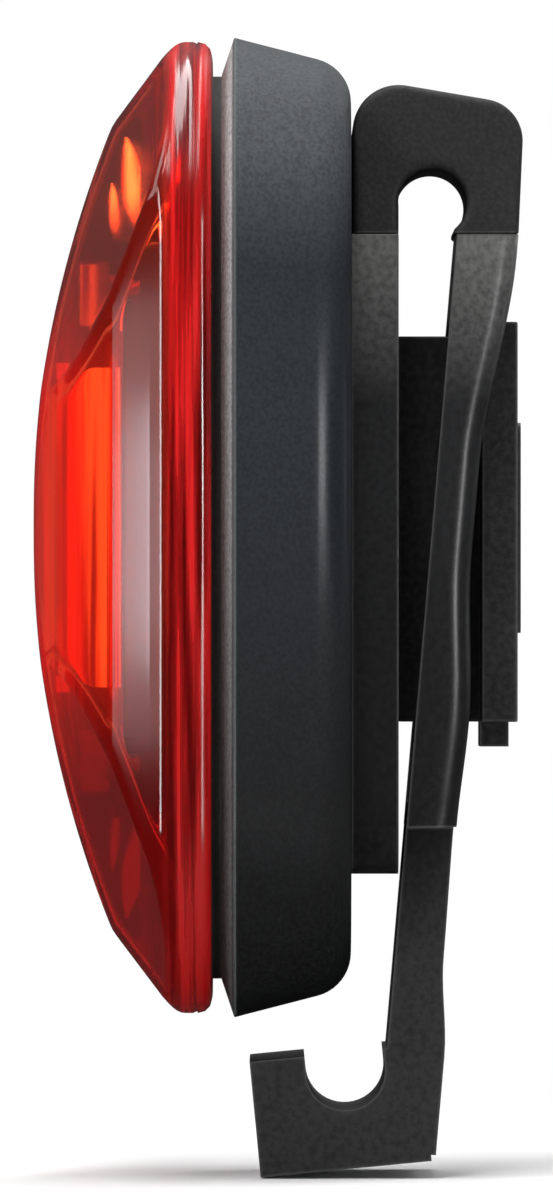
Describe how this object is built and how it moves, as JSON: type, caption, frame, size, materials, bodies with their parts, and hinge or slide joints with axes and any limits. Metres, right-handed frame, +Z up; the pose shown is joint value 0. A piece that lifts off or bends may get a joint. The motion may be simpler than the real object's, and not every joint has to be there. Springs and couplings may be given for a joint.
{
  "type": "bike rear light",
  "caption": "Upright bicycle rear light with a faceted red push-fit lens, dark housing with inner cells and LED board, keyhole spring clip with hook, and a T-shaped dock rail with latch.",
  "frame": {"origin": "middle of the dock rail's back face", "axes": "+Z up along the light's long axis, -Y the way the lens faces, X across"},
  "size_m": [0.0386, 0.0353, 0.082],
  "materials": {
    "lens_red": "polished clear red",
    "guide_amber": "polished amber red",
    "reflector_dark": "dark moulded with metallised cups",
    "led_resin": "clear resin",
    "board_green": "solder mask",
    "chip_black": "moulded",
    "screw_steel": "plated",
    "seal_rubber": "matte",
    "housing_plastic": "fine moulded texture",
    "button_rubber": "matte",
    "cell_wrap": "satin wrap",
    "contact_metal": "nickel plated",
    "clip_plastic": "satin moulded",
    "rail_plastic": "satin moulded",
    "bow_plastic": "matte moulded"
  },
  "bodies": {
    "light_body": {"housing": "housing_plastic", "lens_seal": "seal_rubber", "cell_left": "cell_wrap", "cell_right": "cell_wrap", "contact_positive": "contact_metal", "contact_negative": "contact_metal", "contact_bridge": "contact_metal", "clip_base": "clip_plastic", "clip_screws": "screw_steel", "dock_rail": "rail_plastic", "dock_screws": "screw_steel", "clip_bow": "bow_plastic"},
    "lens_unit": {"lens": "lens_red", "light_guide": "guide_amber", "reflector": "reflector_dark", "leds": "led_resin", "led_board": "board_green", "driver_chip": "chip_black", "board_resistors": "chip_black", "tact_switch": "chip_black", "board_screws": "screw_steel"},
    "button": {"power_button": "button_rubber"},
    "arm": {"clip_arm": "clip_plastic"},
    "latch": {"dock_latch": "rail_plastic"}
  },
  "joints": [
    {"name": "lens_release", "type": "slide", "parent": "light_body", "child": "lens_unit", "axis": [0, -1, 0], "range_m": [0, 0.015]},
    {"name": "button_press", "type": "slide", "parent": "light_body", "child": "button", "axis": [0, 0, -1], "range_m": [0, 0.0006], "stiffness_N_per_m": 900, "springref_m": -0.0006},
    {"name": "clip_open", "type": "hinge", "parent": "light_body", "child": "arm", "pos_m": [0, -0.00616, 0.0233], "axis": [1, 0, 0], "range_deg": [0, 10], "stiffness_Nm_per_rad": 1.2, "springref_deg": -6.88, "deforming": ["clip_bow"]},
    {"name": "latch_press", "type": "hinge", "parent": "light_body", "child": "latch", "pos_m": [0, -0.0008, 0.0086], "axis": [-1, 0, 0], "range_deg": [0, 3], "stiffness_Nm_per_rad": 0.3, "springref_deg": -2.86}
  ]
}
